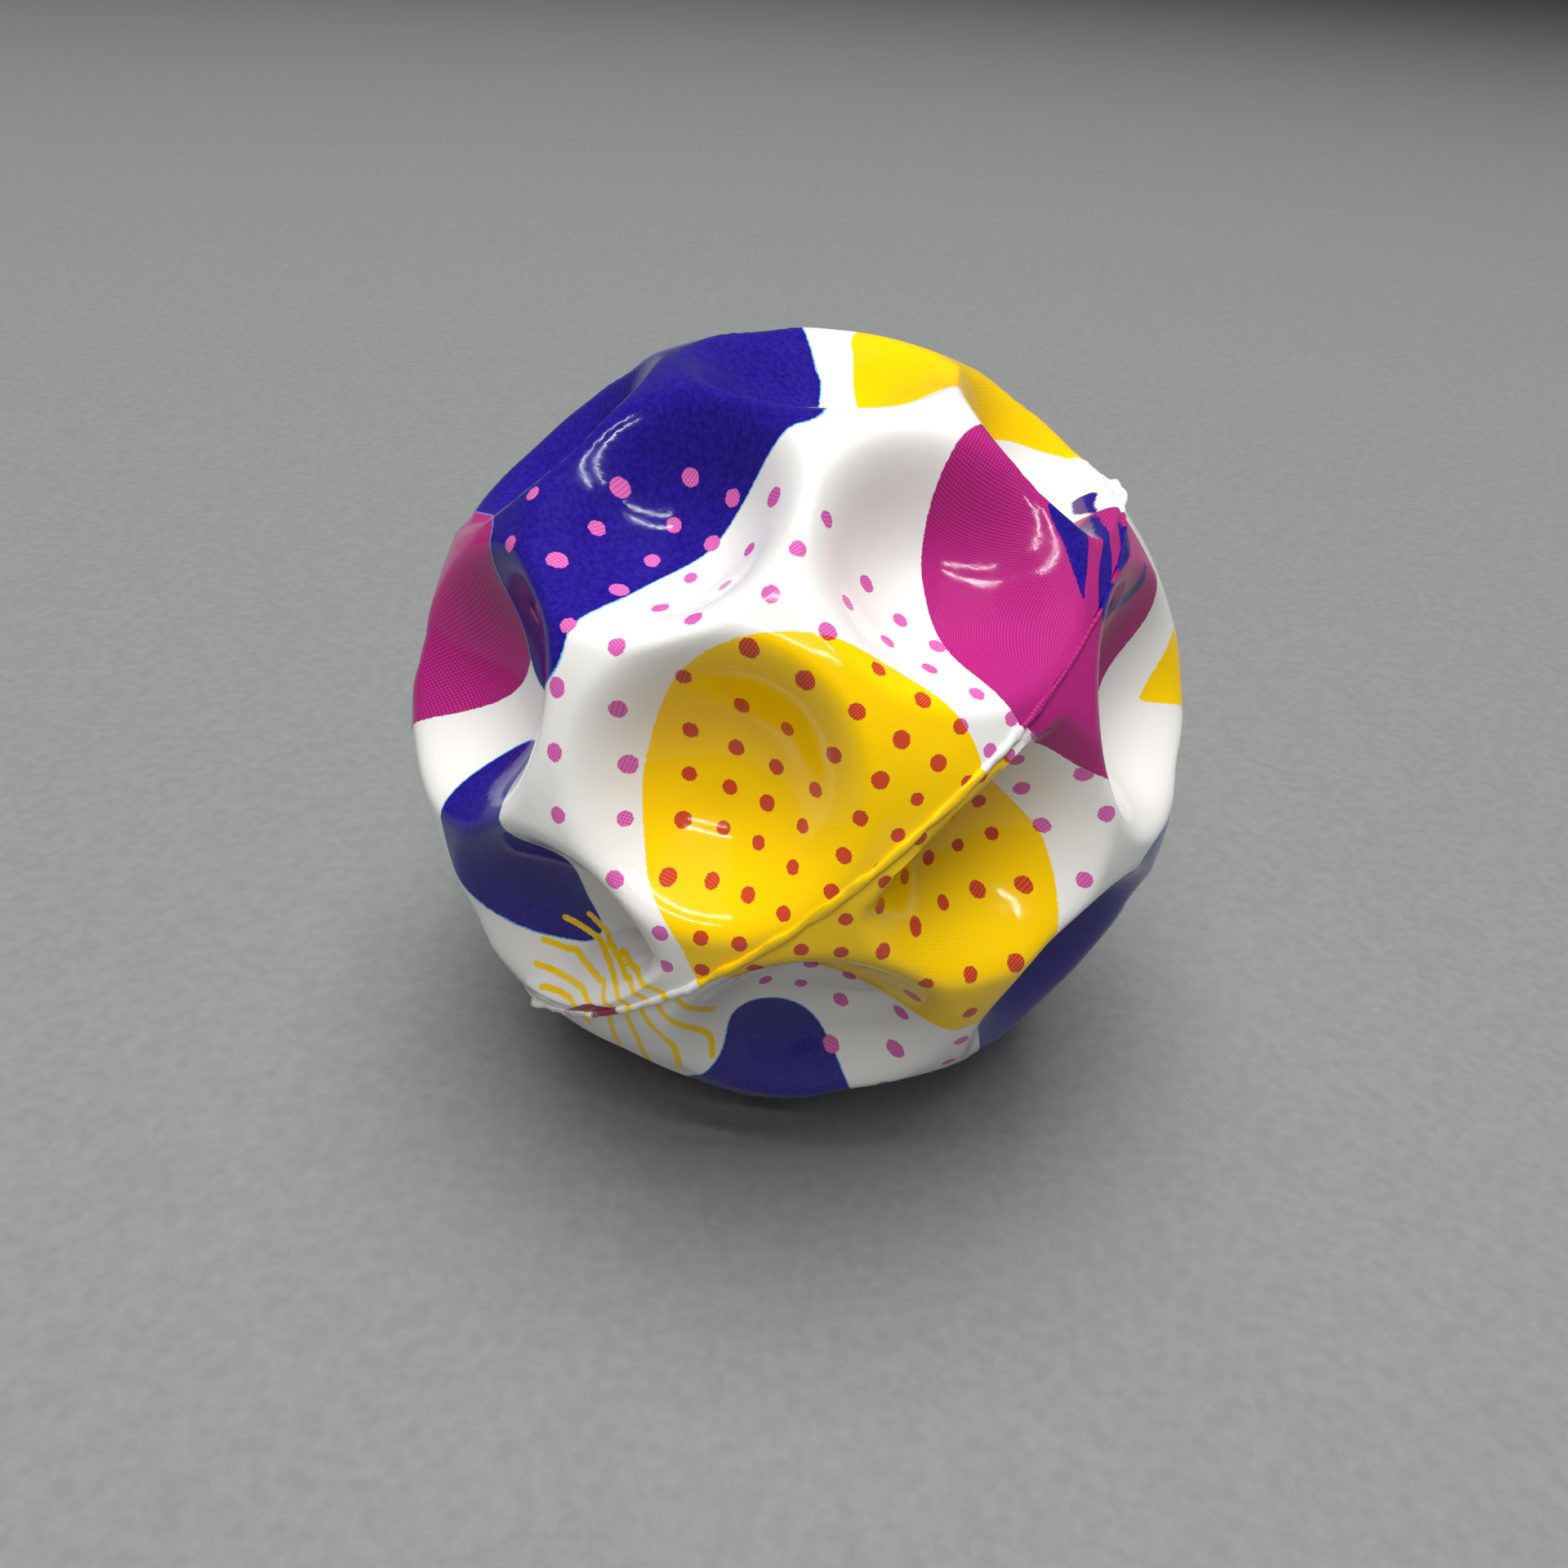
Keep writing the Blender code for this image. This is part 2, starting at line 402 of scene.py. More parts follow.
# %% Lines
LINES = {
    True: [[(-29.8, -31.2), (-30.1, -34.3), (-29.1, -36.5), (-26.7, -39), (-24.1, -41.1), (-22.2, -42.6),
            (-21.3, -45.7)],
           [(-32, -31.7), (-32, -33.4), (-30.6, -35.7), (-28.4, -38.1), (-26, -40.3), (-24.6, -42),
            (-24, -44.2)],
           [(-32.7, -33.9), (-31.1, -35.9), (-29.3, -37.9), (-27.6, -39.8), (-26.9, -42.5)],
           [(-27.3, -32.1), (-27.6, -35.4), (-27.3, -37.3), (-25.2, -39.6), (-22.9, -41.4), (-20.9, -42.8),
            (-19.3, -44.2), (-19, -46.6)],
           [(-25.6, -34.5), (-26, -38.1), (-23.9, -40.3), (-21.3, -42.1), (-18.8, -43.6), (-16.6, -44.9),
            (-16, -47.8)],
           [(-22.1, -41.4), (-18.7, -43.3), (-15.5, -44.7), (-13.9, -46.1), (-13.1, -49)]],
    False: [[(-28, -42.5), (-27.6, -39.3)],
            [(-22.8, -44.8), (-23.7, -42.2), (-24.5, -38.6), (-25, -35.5)],
            [(-20.3, -46.5), (-20.6, -43.7), (-20.9, -41.4), (-21.3, -38.9), (-22, -36), (-22.6, -33)],
            [(-17.8, -47.2), (-17.9, -44.9), (-17.8, -42.7), (-17.3, -40.9), (-17.4, -38.4), (-18.8, -34.5)],
            [(-15.5, -48.2), (-15.3, -45.5), (-15, -43.8), (-15, -41.6), (-15.1, -37.1), (-15.9, -34.5)],
            [(-12.2, -49.3), (-12.5, -45.8), (-12.9, -42.9), (-13.2, -40.2)]],
}
LINE_HALF_WIDTH = 0.27       # millimetres


def near_lines(places, upper):
    """Distance in from the edge of the nearest line, measured on the ball; negative off the lines."""
    points = on_ball(places, upper)
    nearest = np.full(len(points), FAR_AWAY)
    for stroke in LINES[upper]:
        path = on_ball(smooth_line(stroke), upper)
        for start, end in zip(path[:-1], path[1:]):
            run = end - start
            along = np.clip((points - start) @ run / (run @ run), 0, 1)
            nearest = np.minimum(nearest, np.linalg.norm(points - start - along[:, None] * run, axis=1))
    return LINE_HALF_WIDTH - nearest


print(len(LINES[True]), "lines on the upper film,", len(LINES[False]), "on the lower one")

# %% [markdown]
# The dots sit on a square grid that is turned on each sheet. They could be modelled one by one, but
# a grid needs only two numbers for each point of the ball: how many steps along and how many across
# it lies. The material turns these into dots. A film that is pulled into a crater would pull its
# dots long; the real dots are rounder than that, so the length of a grid step on the ball is stored
# too, and the material evens most of the stretch out.

# %% Dots
DOT_FIELDS = {
    True: [[(-6, -11), (4, -10), (14, -10), (19.5, -13.5), (23, -18.5), (27.5, -22), (34, -27.5),
            (38, -34), (42, -44), (20, -58), (-10, -56), (-11, -44), (-11, -36), (-8, -28), (-5, -20)],
           [(-12, 24), (8, 17), (28, 20), (38, 34), (22, 50), (0, 54), (-18, 42)]],
    False: [[(42, -42), (34, -33), (31, -28), (27.5, -23.5), (20, -23), (10, -21), (3, -22), (-4, -24),
             (-9, -28), (-9.5, -36), (-8, -48), (10, -58), (30, -54)],
            [(-44, -8), (-24, 2), (-10, 18), (-14, 42), (-32, 40), (-50, 14)]],
}
DOT_PITCH = 3.95             # millimetres on the flat sheet
DOT_TURN = {True: math.radians(-43.8), False: math.radians(52.5)}
DOT_START = {True: (12.4, -28.3), False: (0.0, 0.0)}
DOT_ROUNDNESS = 0.6          # 0: as stretched as the film, 1: round on the ball
SMALL_STEP = 0.2             # millimetres, to measure the stretch over


def dot_rows(upper):
    turn = DOT_TURN[upper]
    return np.array([math.cos(turn), math.sin(turn)]), np.array([math.sin(turn), -math.cos(turn)])


def on_dot_grid(places, upper):
    along, across = dot_rows(upper)
    moved = places - np.array(DOT_START[upper])
    return np.stack([moved @ along, moved @ across], axis=1) / DOT_PITCH


def in_dot_field(places, upper):
    """The field's signed distance at the middle of the nearest dot, so that no dot is cut by its edge."""
    cell = np.round(on_dot_grid(places, upper)) * DOT_PITCH
    along, across = dot_rows(upper)
    middles = np.array(DOT_START[upper]) + cell[:, :1] * along + cell[:, 1:] * across
    return inside_any(middles, DOT_FIELDS[upper])


def dot_stretch(places, upper):
    """How long one grid step is on the ball: along squared, along times across, across squared."""
    steps = [(on_ball(places + row * SMALL_STEP, upper) - on_ball(places - row * SMALL_STEP, upper))
             * DOT_PITCH / (2 * SMALL_STEP) for row in dot_rows(upper)]
    real = [(steps[0] * steps[0]).sum(1), (steps[0] * steps[1]).sum(1), (steps[1] * steps[1]).sum(1)]
    flat = [DOT_PITCH ** 2, 0, DOT_PITCH ** 2]
    return np.stack([DOT_ROUNDNESS * a + (1 - DOT_ROUNDNESS) * b for a, b in zip(real, flat)], axis=1)


print(len(DOT_FIELDS[True]), "fields of dots on the upper film, one dot every", DOT_PITCH, "mm")

# %% [markdown]
# These values are stored on every vertex as attributes, which a material can read by name. An
# attribute travels with the mesh, so the print cannot slide when the ball is moved.

# %% Store the print on a mesh
NOT_HERE = -9.0              # a signed distance that is far outside everything


def store(mesh, name, values):
    values = np.asarray(values, dtype=np.float32)
    kind = "FLOAT" if values.ndim == 1 else "FLOAT_VECTOR"
    layer = mesh.attributes.new(name, kind, "POINT")
    layer.data.foreach_set("value" if values.ndim == 1 else "vector", values.ravel())


def with_zero(flat):
    return np.column_stack([flat, np.zeros(len(flat))])


def print_design(mesh, directions, upper, dotted=True):
    places = on_sheet(directions)
    design = UPPER if upper else LOWER
    for ink, patches in design.items():
        store(mesh, ink, inside_any(places, patches))
    store(mesh, "leaves", inside_any(places, LEAVES[upper]))
    store(mesh, "dark_leaf", inside_by(places, DARK_LEAF) if upper else np.full(len(places), NOT_HERE))
    store(mesh, "lines", near_lines(places, upper))
    store(mesh, "dot_field", in_dot_field(places, upper) if dotted else np.full(len(places), NOT_HERE))
    store(mesh, "dot_grid", with_zero(on_dot_grid(places, upper)))
    store(mesh, "dot_stretch", dot_stretch(places, upper))
    store(mesh, "sheet", with_zero(places))
    print(len(places), "points know their place in the print")


# %% [markdown]
# ## The printed film's material
#
# The inks are laid over each other in the order of the print: white film, yellow, magenta, indigo,
# dots, lines and leaves. Each layer is a Mix node whose factor is the signed distance turned into
# a sharp edge. Process inks are screened, so yellow, magenta and the dots are broken up by rows of
# tiny dots. The helpers below keep each step of the print to one line.

# %% Node helpers
class Nodes:
    def __init__(self, name):
        self.material = bpy.data.materials.new(name)
        self.material.use_nodes = True
        self.tree = self.material.node_tree
        self.shader = self.tree.nodes["Principled BSDF"]

    def put(self, socket, value):
        if hasattr(value, "is_output"):
            self.tree.links.new(value, socket)
        else:
            socket.default_value = value

    def attribute(self, name, vector=False):
        node = self.tree.nodes.new("ShaderNodeAttribute")
        node.attribute_name = name
        return node.outputs["Vector" if vector else "Fac"]

    def math(self, operation, *values):
        node = self.tree.nodes.new("ShaderNodeMath")
        node.operation = operation
        for socket, value in zip(node.inputs, values):
            self.put(socket, value)
        return node.outputs[0]

    def vector(self, operation, *values):
        node = self.tree.nodes.new("ShaderNodeVectorMath")
        node.operation = operation
        for socket, value in zip(node.inputs, values):
            self.put(socket, value)
        return node.outputs["Value" if operation in ("LENGTH", "DOT_PRODUCT") else "Vector"]

    def noise(self, scale, detail=2, vector=None):
        node = self.tree.nodes.new("ShaderNodeTexNoise")
        node.inputs["Scale"].default_value = scale
        node.inputs["Detail"].default_value = detail
        if vector is None:
            vector = self.tree.nodes.new("ShaderNodeTexCoord").outputs["Object"]
        self.put(node.inputs["Vector"], vector)
        return node.outputs["Fac"]

    def ramp(self, value, low, high, to_low=0, to_high=1):
        node = self.tree.nodes.new("ShaderNodeMapRange")
        for key, number in (("From Min", low), ("From Max", high), ("To Min", to_low), ("To Max", to_high)):
            node.inputs[key].default_value = number
        self.put(node.inputs["Value"], value)
        return node.outputs["Result"]

    def mix(self, share, below, above):
        node = self.tree.nodes.new("ShaderNodeMix")
        node.data_type = "RGBA"
        self.put(node.inputs["Factor"], share)
        self.put(node.inputs["A"], below)
        self.put(node.inputs["B"], above)
        return node.outputs["Result"]

    def bump(self, height, distance, below=None):
        node = self.tree.nodes.new("ShaderNodeBump")
        node.inputs["Distance"].default_value = distance
        node.inputs["Strength"].default_value = 1
        self.put(node.inputs["Height"], height)
        if below is not None:
            self.put(node.inputs["Normal"], below)
        return node.outputs["Normal"]


print("node helpers:", [name for name in vars(Nodes) if not name.startswith("_")])

# %% [markdown]
# Ink colours are easiest to judge as they look on a screen, from 0 to 255 in red, green and blue.
# Blender reckons in amounts of light, so the numbers are converted. Most inks get a second, paler
# or deeper colour, because a printed area is never one even colour from close by.

# %% The inks
def colour(red, green, blue):
    """A colour as it looks on a screen, 0 to 255, turned into the light values that Blender uses."""
    parts = [value / 255 for value in (red, green, blue)]
    return (*[part / 12.92 if part <= 0.04045 else ((part + 0.055) / 1.055) ** 2.4 for part in parts], 1)


WHITE = colour(233, 231, 226)
YELLOW = colour(252, 208, 0)
DEEP_YELLOW = colour(240, 172, 0)
MAGENTA = colour(162, 14, 106)
PALE_MAGENTA = colour(200, 84, 156)
INDIGO = colour(40, 24, 140)
DEEP_INDIGO = colour(28, 14, 116)
CYAN = colour(40, 165, 225)
BRICK = colour(184, 42, 30)
PALE_BRICK = colour(228, 118, 58)
PINK = colour(200, 76, 158)
PALE_PINK = colour(230, 140, 196)
DARK_RED = colour(140, 20, 70)
print("white as amounts of light:", [round(part, 2) for part in WHITE[:3]])

# %% [markdown]
# A printing screen is a grid of tiny ink dots. The sheet's own coordinates are turned and scaled so
# that one cell is one unit wide; the fraction of each coordinate then says where in its cell a
# point lies, and its distance from the middle of the cell gives the dot. The big dots of the
# design are made in the same way from their own grid, with the stored stretch putting them right.

# %% Screens and dots
SCREEN_PITCH = 0.22          # millimetres from row to row
INK_EDGE = 0.035             # millimetres to either side in which an ink's edge fades
DOT_RADII = (0.56, 0.72)     # millimetres, the smallest and the largest dots of the design


def from_cell_middle(nodes, grid):
    """Where a point lies in its cell of a grid, from the middle of the cell."""
    cell = nodes.vector("SUBTRACT", nodes.vector("FRACTION", grid), (0.5, 0.5, 0))
    return nodes.vector("MULTIPLY", cell, (1, 1, 0))


def screen(nodes, sheet, turn):
    """Tiny ink dots in rows: 1 in the middle of a dot, falling to 0 between dots."""
    mapping = nodes.tree.nodes.new("ShaderNodeMapping")
    mapping.inputs["Rotation"].default_value = (0, 0, turn)
    mapping.inputs["Scale"].default_value = (1 / SCREEN_PITCH,) * 3
    nodes.put(mapping.inputs["Vector"], sheet)
    from_middle = nodes.vector("LENGTH", from_cell_middle(nodes, mapping.outputs["Vector"]))
    return nodes.ramp(from_middle, 0.25, 0.5, 1, 0)


def dot_spots(nodes, sheet, ragged):
    """The design's dots: 1 on a dot and 0 beside it."""
    grid = nodes.vector("ADD", nodes.attribute("dot_grid", vector=True), (0.5, 0.5, 0))
    parts = nodes.tree.nodes.new("ShaderNodeSeparateXYZ")
    nodes.put(parts.inputs[0], from_cell_middle(nodes, grid))
    along, across = parts.outputs[0], parts.outputs[1]
    squares = nodes.tree.nodes.new("ShaderNodeCombineXYZ")
    nodes.put(squares.inputs[0], nodes.math("MULTIPLY", along, along))
    nodes.put(squares.inputs[1], nodes.math("MULTIPLY", nodes.math("MULTIPLY", along, across), 2))
    nodes.put(squares.inputs[2], nodes.math("MULTIPLY", across, across))
    stretch = nodes.attribute("dot_stretch", vector=True)
    from_dot = nodes.math("SQRT", nodes.vector("DOT_PRODUCT", squares.outputs[0], stretch))
    radius = nodes.ramp(nodes.noise(0.22, 0, sheet), 0.3, 0.7, *DOT_RADII)
    inside = nodes.math("SUBTRACT", nodes.math("ADD", radius, ragged), from_dot)
    in_field = nodes.ramp(nodes.attribute("dot_field"), -0.01, 0.01)
    return nodes.math("MULTIPLY", nodes.ramp(inside, -INK_EDGE, INK_EDGE), in_field)


print("about", round(DOT_RADII[0] * 2 / SCREEN_PITCH), "screen dots across a small dot of the design")

# %% [markdown]
# Now the inks can be laid over each other. The gloss is the same over every colour, as it is on a
# film whose print lies under a clear surface. It is not perfect: a fine grain breaks up the edges
# of a highlight, and a slower wave bends it.

# %% The printed film
SCREEN_TURN = math.radians(18)
CROSSED_TURN = math.radians(63)
RAGGED = 0.05                # millimetres that an ink's edge wanders
CYAN_RIM = 0.12              # millimetres of cyan that show round the indigo
CYAN_SHARE = 0.8
YELLOW_SCREEN, MAGENTA_SCREEN, DOT_SCREEN = 0.35, 0.38, 0.6     # how much the screen shows
SMEARED = 0.07               # how much rougher the film is where it has been touched
GRAIN_DEPTH = 0.006 * MM
WAVE_DEPTH = 0.03 * MM


def design_colour(nodes):
    sheet = nodes.attribute("sheet", vector=True)
    ragged = nodes.ramp(nodes.noise(3.2, 3, sheet), 0.3, 0.7, -RAGGED, RAGGED)

    def edge(attribute, wider=0.0):
        near = nodes.math("ADD", nodes.math("ADD", nodes.attribute(attribute), ragged), wider)
        return nodes.ramp(near, -INK_EDGE, INK_EDGE)

    rows = screen(nodes, sheet, SCREEN_TURN)
    crossed = nodes.math("MULTIPLY", screen(nodes, sheet, CROSSED_TURN), DOT_SCREEN)
    yellow_ink = nodes.mix(nodes.math("MULTIPLY", rows, YELLOW_SCREEN), YELLOW, DEEP_YELLOW)
    magenta_ink = nodes.mix(nodes.math("MULTIPLY", rows, MAGENTA_SCREEN), MAGENTA, PALE_MAGENTA)
    indigo_ink = nodes.mix(nodes.ramp(nodes.noise(2600, 2), 0.35, 0.65), INDIGO, DEEP_INDIGO)

    yellow, magenta = edge("yellow"), edge("magenta")
    look = nodes.mix(yellow, WHITE, yellow_ink)
    look = nodes.mix(magenta, look, magenta_ink)
    look = nodes.mix(nodes.math("MULTIPLY", edge("indigo", CYAN_RIM), CYAN_SHARE), look, CYAN)
    look = nodes.mix(edge("indigo"), look, indigo_ink)

    dots = nodes.math("MULTIPLY", dot_spots(nodes, sheet, ragged), nodes.math("SUBTRACT", 1, magenta))
    on_white, on_yellow = nodes.mix(crossed, PINK, PALE_PINK), nodes.mix(crossed, BRICK, PALE_BRICK)
    look = nodes.mix(dots, look, nodes.mix(yellow, on_white, on_yellow))

    look = nodes.mix(edge("lines"), look, YELLOW)
    look = nodes.mix(edge("leaves"), look, indigo_ink)
    return nodes.mix(edge("dark_leaf"), look, DARK_RED)


def printed_film(name, roughness):
    nodes = Nodes(name)
    nodes.put(nodes.shader.inputs["Base Color"], design_colour(nodes))
    smears = nodes.ramp(nodes.noise(600, 2), 0.3, 0.7, roughness, roughness + SMEARED)
    nodes.put(nodes.shader.inputs["Roughness"], smears)
    grain = nodes.bump(nodes.noise(2400, 2), GRAIN_DEPTH)
    nodes.put(nodes.shader.inputs["Normal"], nodes.bump(nodes.noise(420, 2), WAVE_DEPTH, grain))
    print(name, "has", len(nodes.tree.nodes), "nodes")
    return nodes.material


# %% [markdown]
# ## The two films
#
# Each film starts as an ico sphere, because its triangles are nearly all the same size and it has
# no pole where they crowd. Its vertices are moved out or in to the crater surface, edit mode's
# Bisect cuts the sphere along the parting line, and Solidify gives the film its half millimetre.
#
# The thin lines and leaves need smaller triangles than the rest. A finer sphere would waste them,
# so only the faces below the finest printing are selected and subdivided. The steep wall that
# carries the upper film's lines is done twice, because that is where the film is stretched most.

# %% Finer faces where the print is fine
FINE_AREAS = {                # number of cuts, and where on the flat sheet
    True: [(2, [(-34, -31), (-29, -29.5), (-24, -33), (-20, -38), (-12, -41), (-12, -50), (-22, -47),
                (-29, -42), (-34.5, -35)]),
           (2, [(-31.6, -32.3), (-30.6, -31.2), (-25.1, -35.6), (-18.6, -39.7), (-13, -41.8), (-14, -46.8),
                (-20.6, -44.3), (-27.9, -39.8), (-33.5, -34.5)]),
           (2, [(50, 7), (44, 6), (38, -10), (38, -24), (46, -25), (54, -8)])],
    False: [(3, [(-30, -43), (-29, -37), (-25, -33), (-18, -32), (-12, -37), (-10.5, -49), (-20, -47.5)]),
            (2, [(52, -4), (40, -4), (39, -12), (43, -26), (52, -20)])],
}


def nothing_selected():
    if bpy.context.object and bpy.context.object.mode != "OBJECT":
        bpy.ops.object.mode_set(mode="OBJECT")
    bpy.ops.object.select_all(action="DESELECT")


def refine(piece, cuts, area, upper):
    """Split the faces under the finest printing, so that thin lines keep their edges."""
    middles = np.empty(3 * len(piece.data.polygons))
    piece.data.polygons.foreach_get("center", middles)
    middles = unit(middles.reshape(-1, 3))
    chosen = (inside_by(on_sheet(middles), area) > 0) & ((middles[:, 2] > 0) == upper)
    bpy.ops.object.mode_set(mode="EDIT")
    bpy.ops.mesh.select_all(action="DESELECT")
    bpy.ops.object.mode_set(mode="OBJECT")
    piece.data.polygons.foreach_set("select", chosen)
    bpy.ops.object.mode_set(mode="EDIT")
    bpy.ops.mesh.select_mode(type="FACE")
    bpy.ops.mesh.subdivide(number_cuts=cuts)
    bpy.ops.object.mode_set(mode="OBJECT")
    print(int(chosen.sum()), "faces cut", cuts, "times on each edge")


# %% [markdown]
# The foam does not fill the mould perfectly, so the film's craters are softly uneven. A noise that
# only ever sinks the surface gives that, and keeps the film inside the CAD model's box.

# %% Model a film
FILM_THICKNESS = 0.5 * MM
FILM_EDGE = 0.1 * MM         # from the parting line to a film's edge
FINENESS = 7                 # subdivisions of the ico sphere
UNEVEN_SIZE = 5 * MM
UNEVEN_DEPTH = 0.25 * MM
FILM_ROUGHNESS = 0.08
SMOOTH_UP_TO = math.radians(50)     # sharper corners than this stay sharp


def uneven(points):
    sinks = [0.5 + 0.5 * noise.noise(Vector(point) / UNEVEN_SIZE) for point in points]
    return UNEVEN_DEPTH * np.array(sinks)


def film(name, upper):
    nothing_selected()
    bpy.ops.mesh.primitive_ico_sphere_add(subdivisions=FINENESS, radius=BALL_RADIUS)
    piece = bpy.context.object
    piece.name = name
    for cuts, area in FINE_AREAS[upper]:
        refine(piece, cuts, area, upper)
    directions = unit(read_points(piece.data))
    radius = surface_radius(directions) - uneven(directions * BALL_RADIUS)
    write_points(piece.data, directions * radius[:, None])
    bpy.ops.object.mode_set(mode="EDIT")
    bpy.ops.mesh.select_all(action="SELECT")
    height = FILM_EDGE if upper else -FILM_EDGE
    bpy.ops.mesh.bisect(plane_co=(0, 0, height), plane_no=(0, 0, 1),
                        clear_inner=upper, clear_outer=not upper)
    bpy.ops.object.mode_set(mode="OBJECT")
    print_design(piece.data, unit(read_points(piece.data)), upper)
    wall = piece.modifiers.new("Film thickness", "SOLIDIFY")
    wall.thickness = FILM_THICKNESS
    wall.offset = -1
    bpy.ops.object.modifier_apply(modifier=wall.name)
    piece.data.transform(LYING)
    bpy.ops.object.shade_smooth_by_angle(angle=SMOOTH_UP_TO)
    print(name, "has", len(piece.data.polygons), "faces")
    return piece


upper_film = film("upper_film", True)
upper_film.data.materials.append(printed_film("printed film, upper", FILM_ROUGHNESS))
lower_film = film("lower_film", False)
lower_film.data.materials.append(printed_film("printed film, lower", FILM_ROUGHNESS))

# %% [markdown]
# ## The bead along the parting line
#
# Where the mould's halves close, the film edges and a little foam squeeze out. After trimming, an
# uneven bead is left that stands a few tenths of a millimetre proud. A torus is a good start: it
# already is a ring with a round section. Each of its points is then placed by where it is round
# the ring and round the section.

# %% The bead's course
FLASH_TABS = [(-139.0, 0.3, 1.3), (4.5, 0.5, 3.4)]     # degrees round, height and half length in mm
TRIMMED_CLOSE = (-25.0, 24.0)      # degrees: middle and half width of the stretch that is cut lowest
TEETH = (-98.0, 5.0)               # degrees: where trimming left small teeth
LOWEST = 0.06                      # millimetres that the bead always stands proud
HIDDEN = 0.45                      # millimetres that it reaches down between the films


def bead_wave(round_ring, size, layer):
    """A wave along the bead, from about -0.5 to 0.5; size is in millimetres."""
    place = Vector((math.cos(round_ring), math.sin(round_ring), layer)) * (BALL_RADIUS / (size * MM))
    return noise.noise(place)


def bead_shape(angle):
    """How far the bead stands proud, how wide it is and how far it leans, in millimetres."""
    degrees = math.degrees(angle)
    low = max(0.0, 1 - ((degrees - TRIMMED_CLOSE[0]) / TRIMMED_CLOSE[1]) ** 4)
    rough = 1 + 3 * max(0.0, 1 - ((degrees - TEETH[0]) / TEETH[1]) ** 2)
    proud = 0.16 + 0.2 * bead_wave(angle, 1.6, 0.0) + 0.25 * rough * bead_wave(angle, 0.5, 3.0)
    wide = 0.32 + 0.16 * bead_wave(angle, 2.4, 7.0) + 0.18 * rough * bead_wave(angle, 0.4, 5.0)
    lean = 0.14 * bead_wave(angle, 2.0, 11.0)
    proud, wide = proud * (1 - 0.6 * low), wide * (1 - 0.62 * low)
    for place, height, reach in FLASH_TABS:
        away = abs((degrees - place + 180) % 360 - 180) * math.radians(1) * BALL_RADIUS / MM
        proud += height * max(0.0, 1 - (away / reach) ** 4) * (1 + 0.5 * bead_wave(angle, 0.6, 2.0))
    return max(proud, LOWEST), wide, lean


tab_height = bead_shape(math.radians(FLASH_TABS[1][0]))[0]
print("at the longer tab the bead stands", round(tab_height, 2), "mm proud")

# %% [markdown]
# The bead carries the print of the upper film's edge, stretched over it, but none of the dots. Its
# points are looked up as if they lay just above the parting line.

# %% Model the bead
BEAD_STEPS = 1400
BEAD_SECTION = 10
STARTING_RADIUS = 0.4 * MM
JUST_ABOVE = np.array([0, 0, 0.002])
BEAD_ROUGHNESS = 0.25
BEAD_SMOOTH_UP_TO = math.radians(60)


def make_bead(name):
    nothing_selected()
    bpy.ops.mesh.primitive_torus_add(major_segments=BEAD_STEPS, minor_segments=BEAD_SECTION,
                                     major_radius=BALL_RADIUS, minor_radius=STARTING_RADIUS)
    piece = bpy.context.object
    piece.name = name
    points = read_points(piece.data)
    round_ring = np.arctan2(points[:, 1], points[:, 0])
    out = (np.hypot(points[:, 0], points[:, 1]) - BALL_RADIUS) / STARTING_RADIUS
    side = points[:, 2] / STARTING_RADIUS
    flat = np.stack([np.cos(round_ring), np.sin(round_ring), np.zeros(len(points))], axis=1)
    surface = surface_radius(flat)
    for n, angle in enumerate(round_ring):
        proud, wide, lean = bead_shape(angle)
        rise = (proud if out[n] > 0 else HIDDEN) * out[n] * MM
        points[n] = flat[n] * (surface[n] + rise)
        points[n][2] = (side[n] * wide + lean) * MM
    write_points(piece.data, points)
    along_line = unit(read_points(piece.data)) * np.array([1, 1, 0])
    print_design(piece.data, along_line + JUST_ABOVE, True, dotted=False)
    piece.data.transform(LYING)
    bpy.ops.object.shade_smooth_by_angle(angle=BEAD_SMOOTH_UP_TO)
    print(name, "has", len(piece.data.polygons), "faces")
    return piece


seam_ridge = make_bead("seam_ridge")
seam_ridge.data.materials.append(printed_film("printed film, trimmed edge", BEAD_ROUGHNESS))

# %% [markdown]
# ## The foam core
#
# The core's shape in the CAD model is right, so the node stays. Its material shows the cells of
# cut foam: small round hollows of several sizes in a pale cream plastic, with painted shade in each hollow.

# %% Foam
# painted shade: the darker colour at the bottom of each foam hollow
PAINTED_HOLLOW_SHADE = colour(196, 184, 150)
CELL_WALL = colour(238, 230, 205)
YELLOWED = colour(226, 210, 170)
CELLS_PER_METRE = 1800
CELL_DEPTH = 0.15 * MM


def foam():
    nodes = Nodes("moulded foam")
    cells = nodes.tree.nodes.new("ShaderNodeTexVoronoi")
    cells.inputs["Scale"].default_value = CELLS_PER_METRE
    nodes.put(cells.inputs["Vector"], nodes.tree.nodes.new("ShaderNodeTexCoord").outputs["Object"])
    depth = nodes.ramp(cells.outputs["Distance"], 0.1, 0.6)
    blotches = nodes.ramp(nodes.noise(120), 0.35, 0.65, 0, 0.3)
    # the hollows' depth also mixes in the painted shade colour
    look = nodes.mix(blotches, nodes.mix(depth, PAINTED_HOLLOW_SHADE, CELL_WALL), YELLOWED)
    nodes.put(nodes.shader.inputs["Base Color"], look)
    nodes.shader.inputs["Roughness"].default_value = 0.85
    nodes.put(nodes.shader.inputs["Normal"], nodes.bump(depth, CELL_DEPTH))
    return nodes.material


core_material = foam()
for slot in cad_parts["foam_core"].material_slots:
    slot.material = core_material
print("foam_core now has", core_material.name)
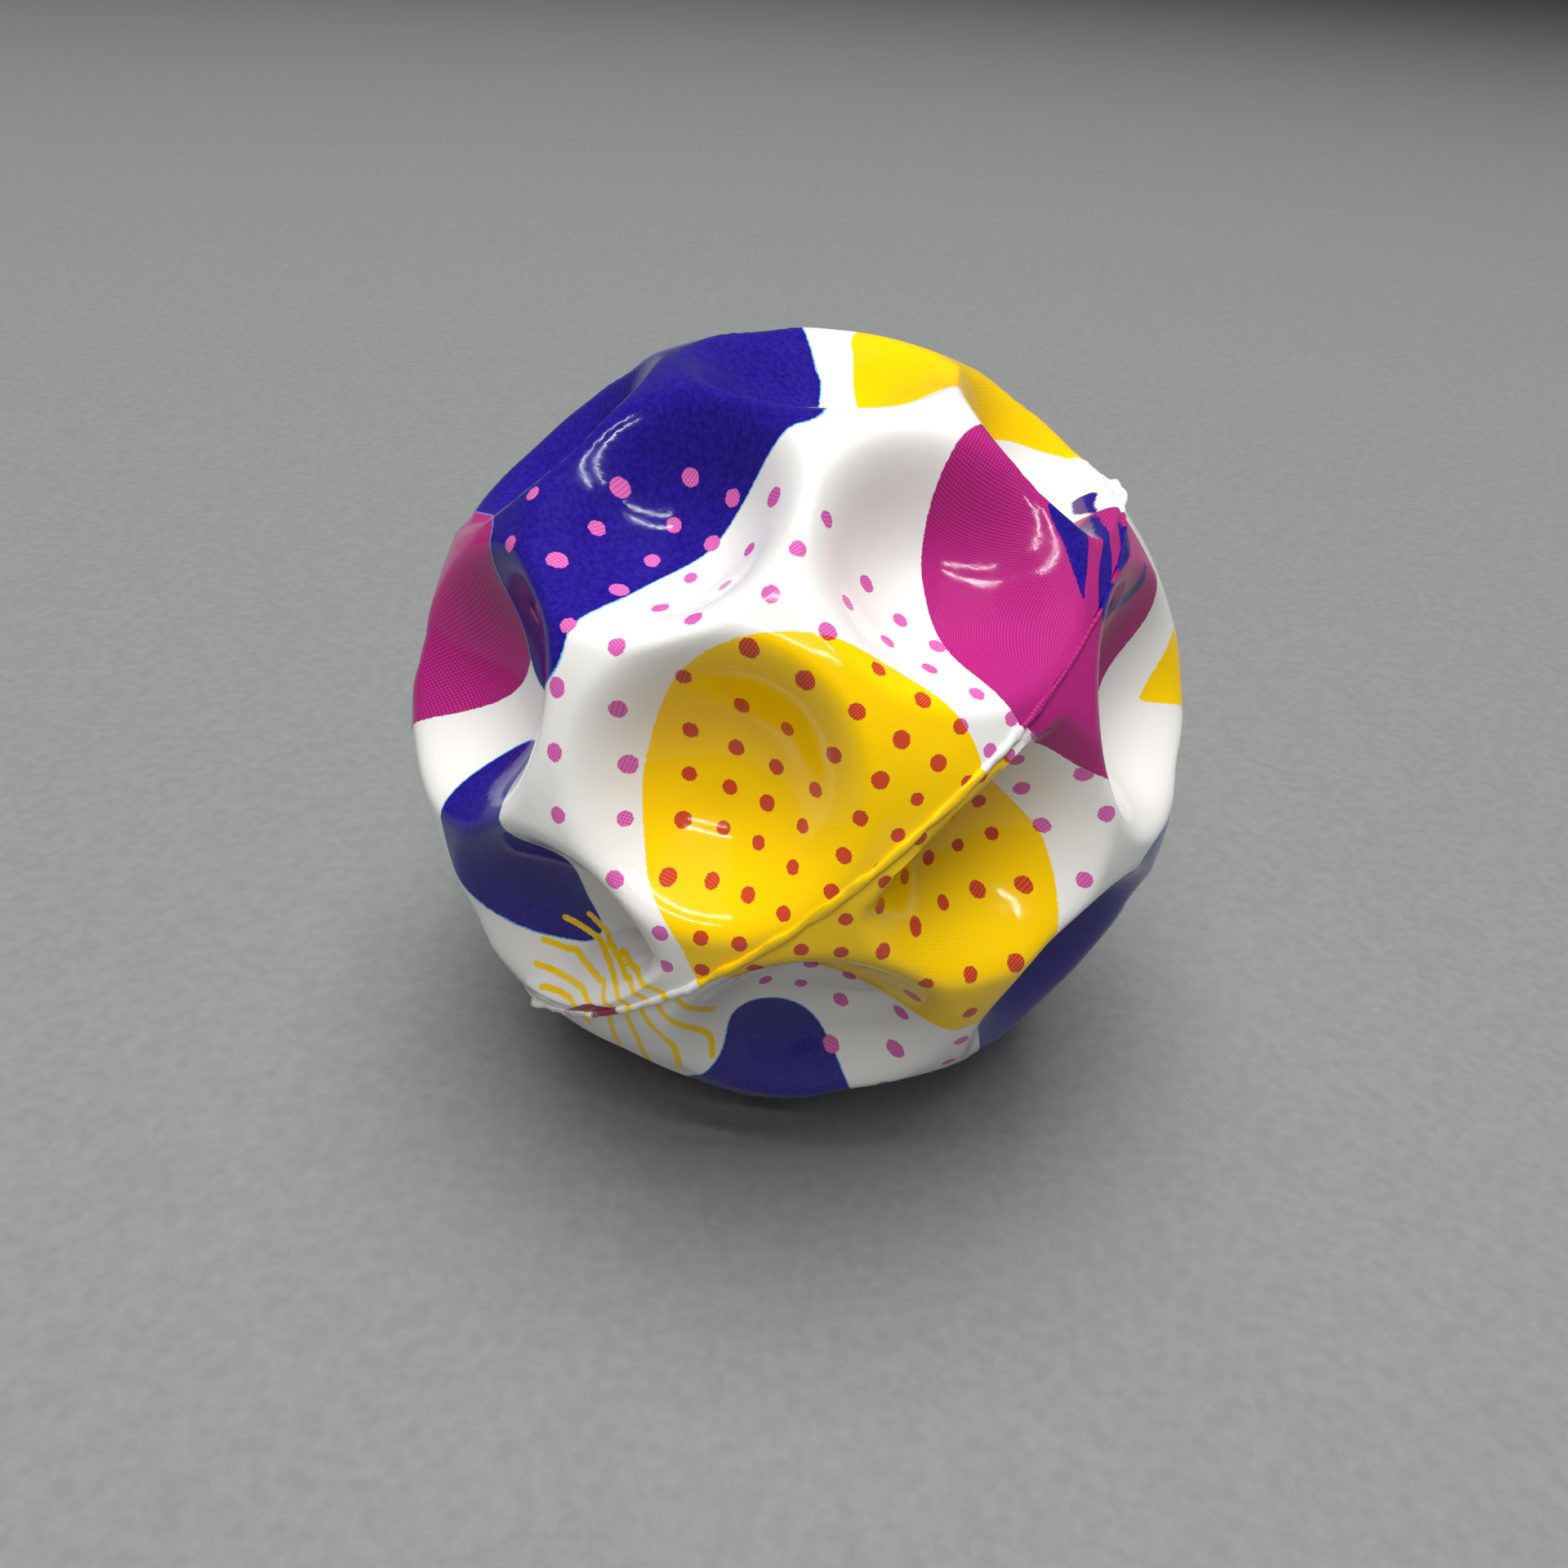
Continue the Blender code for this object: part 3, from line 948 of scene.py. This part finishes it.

# %% [markdown]
# ## What each piece stands for
#
# The films and the bead are finer versions of three CAD nodes, so each hides the node it replaces
# and says which one it is. Nothing on the ball moves, so all of them ride on the root body.

# %% Tie the pieces to the frame
for piece, node, slot in ((upper_film, "upper_skin", "printed_film_upper"),
                          (lower_film, "lower_skin", "printed_film_lower"),
                          (seam_ridge, "seam_bead", "seam_edge")):
    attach(piece, "root")
    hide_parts(node)
    print(piece.name, "replaces", node)

# %% [markdown]
# ## Table
#
# The ball stands on a plain grey table. One large face is enough, a little speckled, with its
# height put into the mesh so that the object itself stays at the origin.

# %% Table
TABLE_SIZE = 6               # metres
TABLE_GREYS = (colour(124, 126, 125), colour(132, 134, 133))

nothing_selected()
bpy.ops.mesh.primitive_plane_add(size=TABLE_SIZE, location=(0, 0, 0))
table = bpy.context.object
table.name = "table"
table.data.transform(Matrix.Translation((0, 0, floor_height)))
table_nodes = Nodes("grey table")
speckle = table_nodes.ramp(table_nodes.noise(900, 3), 0.3, 0.7)
table_nodes.put(table_nodes.shader.inputs["Base Color"], table_nodes.mix(speckle, *TABLE_GREYS))
table_nodes.shader.inputs["Roughness"].default_value = 0.7
table.data.materials.append(table_nodes.material)
print("the table's height is", round(table.data.vertices[0].co.z / MM, 2), "mm")

# %% [markdown]
# ## Light
#
# A large soft panel overhead does most of the lighting. It is hidden from reflections, because a
# glossy film would turn milky under it. What the film does show is two long thin ceiling lamps, on
# the viewer's side. A faint pale surround keeps the shaded side open.

# %% Lights
def panel(name, place, size, power):
    """A rectangular lamp that faces the ball; place and size are in metres."""
    data = bpy.data.lights.new(name, "AREA")
    data.shape = "RECTANGLE"
    data.size, data.size_y = size
    data.energy = power
    lamp = bpy.data.objects.new(name, data)
    lamp.location = place
    lamp.rotation_euler = Vector(place).to_track_quat("Z", "Y").to_euler()
    bpy.context.scene.collection.objects.link(lamp)
    print(name, "has", power, "watts")
    return lamp


panel("soft panel", (0.0, 0.0, 1.6), (1.3, 1.5), 40).visible_glossy = False
panel("ceiling lamp, near", (-0.2, -1.3, 1.5), (1.3, 0.018), 5.5)
panel("ceiling lamp, far", (-0.2, -0.85, 1.5), (1.3, 0.018), 5.5)
world = bpy.data.worlds.new("surround")
world.use_nodes = True
background = world.node_tree.nodes["Background"]
background.inputs["Color"].default_value = colour(214, 216, 220)
background.inputs["Strength"].default_value = 0.13
bpy.context.scene.world = world

# %% [markdown]
